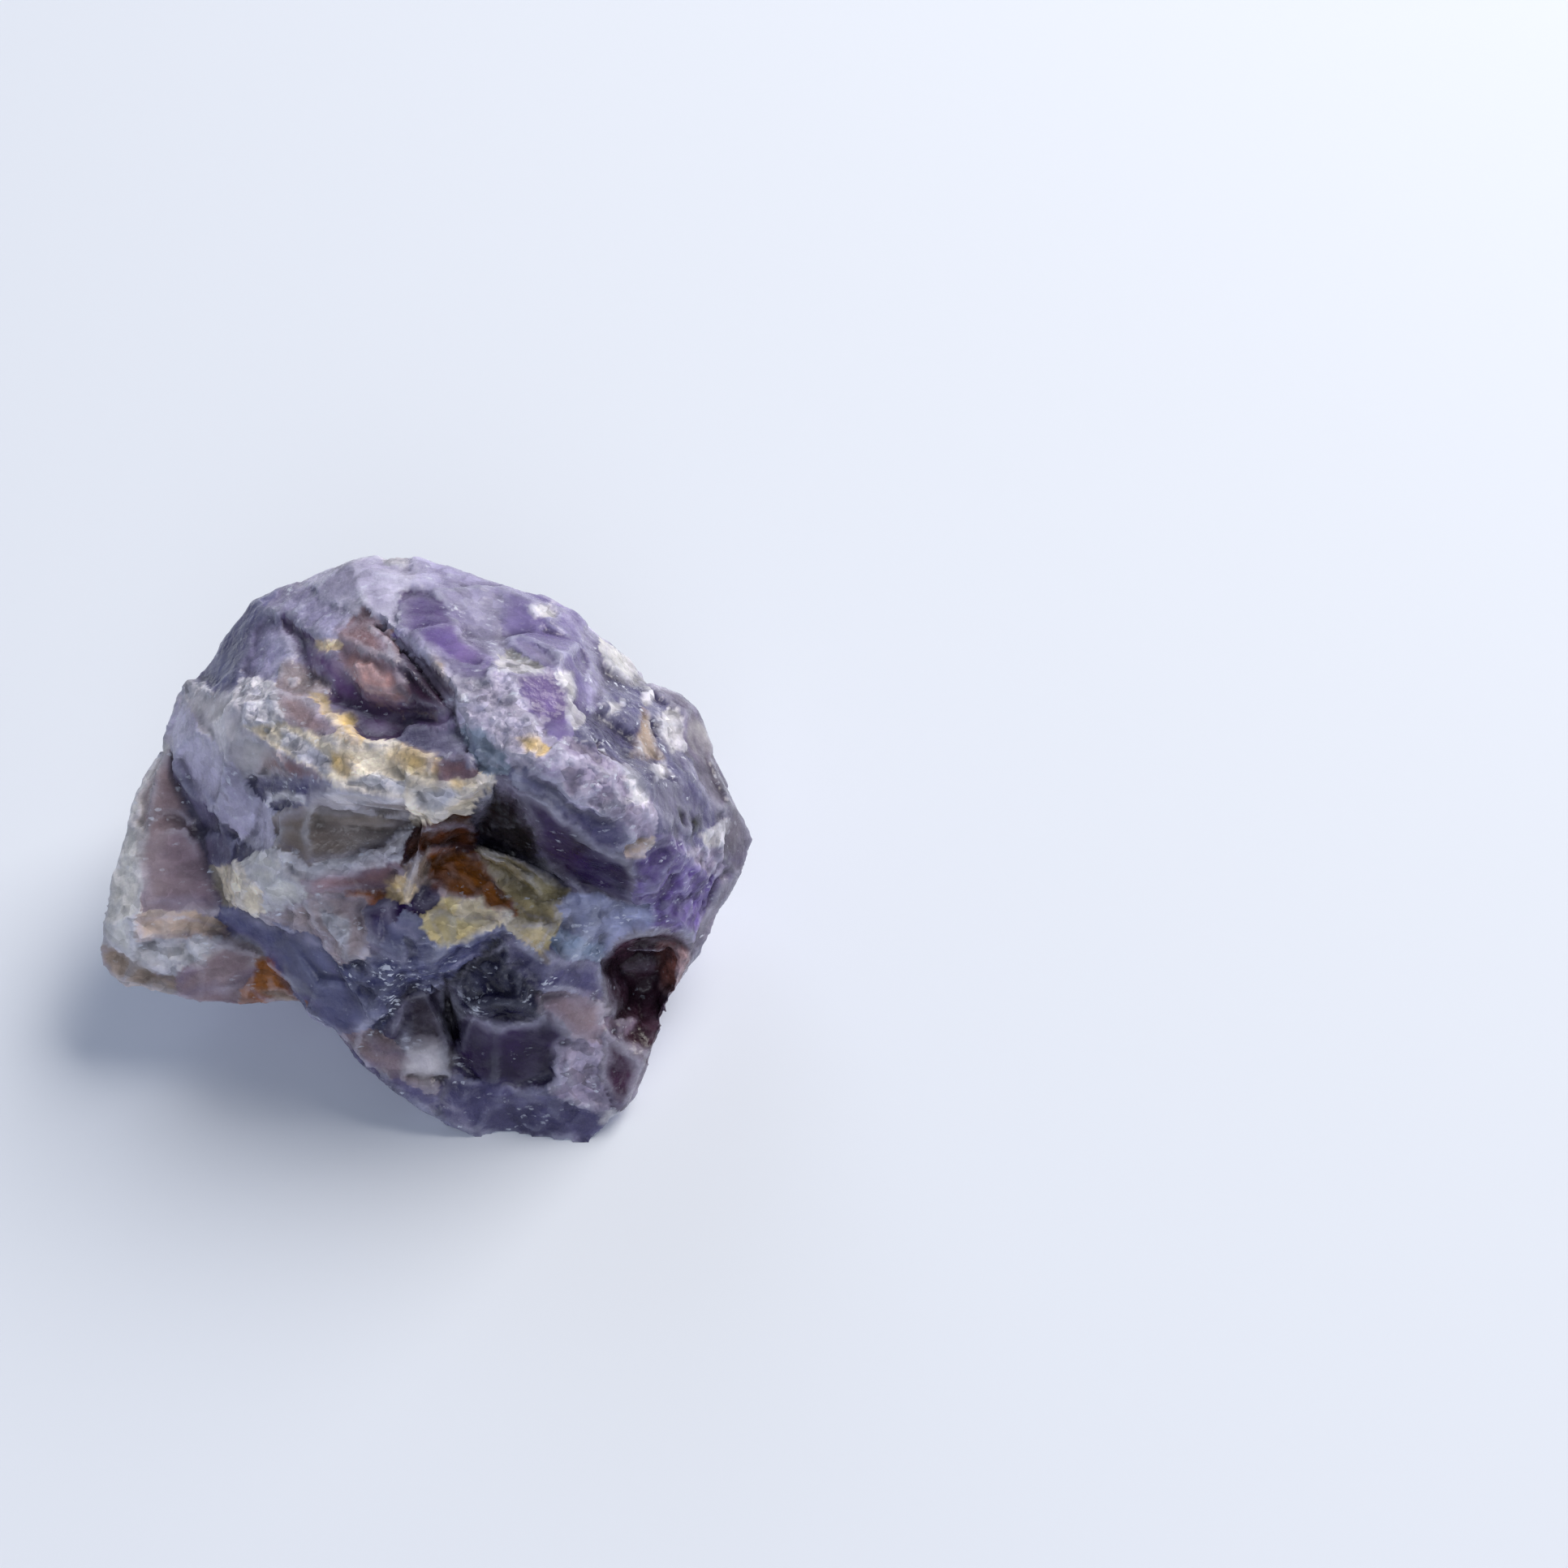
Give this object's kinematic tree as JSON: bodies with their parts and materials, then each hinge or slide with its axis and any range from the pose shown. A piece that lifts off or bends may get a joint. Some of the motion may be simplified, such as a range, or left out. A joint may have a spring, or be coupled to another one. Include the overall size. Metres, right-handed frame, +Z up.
{
  "type": "rough amethyst stone",
  "caption": "Palm-sized chunk of rough amethyst, broken from banded quartz, with purple glassy faces, frosted lilac crust, an ochre-stained shelf and a side lobe. A display stone.",
  "frame": {"origin": "middle of the stone's bounding box, at the bottom, on the level facet that it rests on", "axes": "+Z up as the stone rests in the picture, -Y towards the picture's camera, +X to the picture's right, along the stone's longest extent"},
  "size_m": [0.0642, 0.0508, 0.0401],
  "materials": {
    "amethyst": "broken quartz, glassy to frosted, purple to milky, with ochre stains"
  },
  "bodies": {
    "root": {"rough_amethyst": "amethyst"}
  },
  "joints": []
}
